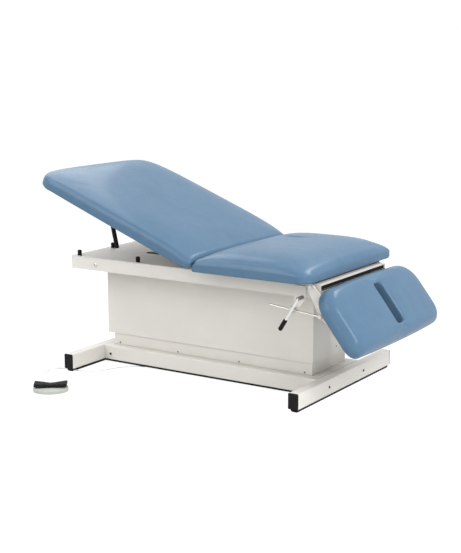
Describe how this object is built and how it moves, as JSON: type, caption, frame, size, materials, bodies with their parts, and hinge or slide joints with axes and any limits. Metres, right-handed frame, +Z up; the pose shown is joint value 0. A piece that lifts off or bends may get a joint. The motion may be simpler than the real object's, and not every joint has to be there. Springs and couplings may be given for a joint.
{
  "type": "examination table",
  "caption": "Powered examination table with a fixed seat, a gas-sprung backrest, a clamped drop section with a nose slot, telescoping covers and a foot pedal.",
  "frame": {"origin": "on the floor under the middle of the box round the table and its pedal, the cord left out", "axes": "+Z up, +X towards the drop section, -Y towards the side with the pedal and the clamp lever"},
  "size_m": [1.7236, 1.2812, 0.9521],
  "materials": {
    "vinyl": "smooth steel blue upholstery vinyl, soft sheen",
    "enamel": "warm off-white baked enamel",
    "deck": "light grey satin enamel",
    "rubber": "matt black rubber",
    "black_plastic": "fine-grained black moulding",
    "steel": "zinc plated steel",
    "chrome": "bright plate",
    "plywood": "plain birch plywood",
    "pale_plastic": "pale grey-green moulding",
    "cord": "white cord sheath"
  },
  "bodies": {
    "base": {"head_crossbar": "enamel", "foot_crossbar": "enamel", "near_side_rail": "enamel", "far_side_rail": "enamel", "head_near_end_cap": "black_plastic", "head_far_end_cap": "black_plastic", "foot_near_end_cap": "black_plastic", "foot_far_end_cap": "black_plastic", "head_rubber_strip": "rubber", "foot_rubber_strip": "rubber", "floor_plate": "enamel", "lower_near_cover": "enamel", "lower_far_cover": "enamel", "lower_head_cover": "enamel", "lower_foot_cover": "enamel", "head_column_outer": "steel", "foot_column_outer": "steel", "control_box": "black_plastic", "cord_gland": "black_plastic", "pedal_base": "pale_plastic", "pedal_cord": "cord"},
    "top": {"deck_panel": "deck", "near_deck_rail": "enamel", "far_deck_rail": "enamel", "foot_channel": "enamel", "upper_near_cover": "enamel", "upper_far_cover": "enamel", "upper_head_cover": "enamel", "upper_foot_cover": "enamel", "head_column_inner": "steel", "foot_column_inner": "steel", "seat_board": "plywood", "seat_pad": "vinyl", "head_near_bumper": "rubber", "head_far_bumper": "rubber", "head_centre_bumper": "rubber", "mid_near_bumper": "rubber", "mid_far_bumper": "rubber", "near_hinge_bracket": "steel", "far_hinge_bracket": "steel", "gas_spring_hanger": "steel", "clamp_plate": "enamel", "drop_hinge_rod": "steel"},
    "backrest": {"backrest_board": "plywood", "backrest_pad": "vinyl", "near_hinge_arm": "steel", "far_hinge_arm": "steel", "gas_spring_bracket": "steel"},
    "gas_cylinder": {"gas_cylinder": "steel"},
    "gas_rod": {"gas_rod": "chrome"},
    "release_handle": {"release_handle": "steel"},
    "drop_section": {"drop_board": "plywood", "drop_pad": "vinyl", "near_drop_arm": "enamel", "far_drop_arm": "enamel"},
    "support_rod": {"support_rod": "chrome"},
    "clamp_swivel": {"clamp_swivel": "chrome"},
    "clamp_lever": {"clamp_lever": "chrome"},
    "pedal_rocker": {"pedal_rocker": "black_plastic"}
  },
  "joints": [
    {"name": "lift", "type": "slide", "parent": "base", "child": "top", "axis": [0, 0, 1], "range_m": [0, 0.3]},
    {"name": "backrest_tilt", "type": "hinge", "parent": "top", "child": "backrest", "pos_m": [-0.00059, 0.18455, 0.6029], "axis": [0, 1, 0], "range_deg": [-21, 54]},
    {"name": "gas_cylinder_swing", "type": "hinge", "parent": "top", "child": "gas_cylinder", "pos_m": [-0.07005, 0.13656, 0.20898], "axis": [0, 1, 0], "range_deg": [-10.5, 27]},
    {"name": "gas_rod_swing", "type": "hinge", "parent": "backrest", "child": "gas_rod", "pos_m": [-0.38803, 0.13656, 0.70235], "axis": [0, 1, 0], "range_deg": [-27, 10.5]},
    {"name": "release_pull", "type": "hinge", "parent": "backrest", "child": "release_handle", "pos_m": [-0.48907, -0.00545, 0.73953], "axis": [0, 1, 0], "range_deg": [0, 15], "stiffness_Nm_per_rad": 2, "springref_deg": -14.32},
    {"name": "drop_tilt", "type": "hinge", "parent": "top", "child": "drop_section", "pos_m": [0.58141, 0.18455, 0.53], "axis": [0, 1, 0], "range_deg": [-52, 38]},
    {"name": "support_rod_swing", "type": "hinge", "parent": "drop_section", "child": "support_rod", "pos_m": [0.63762, -0.15544, 0.40946], "axis": [0, 1, 0], "range_deg": [-19, 26]},
    {"name": "clamp_swivel_turn", "type": "hinge", "parent": "top", "child": "clamp_swivel", "pos_m": [0.50137, -0.15544, 0.42378], "axis": [0, 1, 0], "range_deg": [-26, 19]},
    {"name": "clamp_lever_turn", "type": "hinge", "parent": "top", "child": "clamp_lever", "pos_m": [0.53941, -0.15544, 0.482], "axis": [0, 1, 0], "range_deg": [0, 30]},
    {"name": "pedal_rock", "type": "hinge", "parent": "base", "child": "pedal_rocker", "pos_m": [-0.53359, -0.56544, 0.0233], "axis": [-0.5878, 0.809, 0], "range_deg": [-4, 4], "stiffness_Nm_per_rad": 4}
  ],
  "couplings": [
    {"joint": "gas_cylinder_swing", "follows": "backrest_tilt", "ratio": 0.5},
    {"joint": "gas_rod_swing", "follows": "backrest_tilt", "ratio": -0.5},
    {"joint": "support_rod_swing", "follows": "drop_tilt", "ratio": -0.5},
    {"joint": "clamp_swivel_turn", "follows": "drop_tilt", "ratio": 0.5}
  ]
}
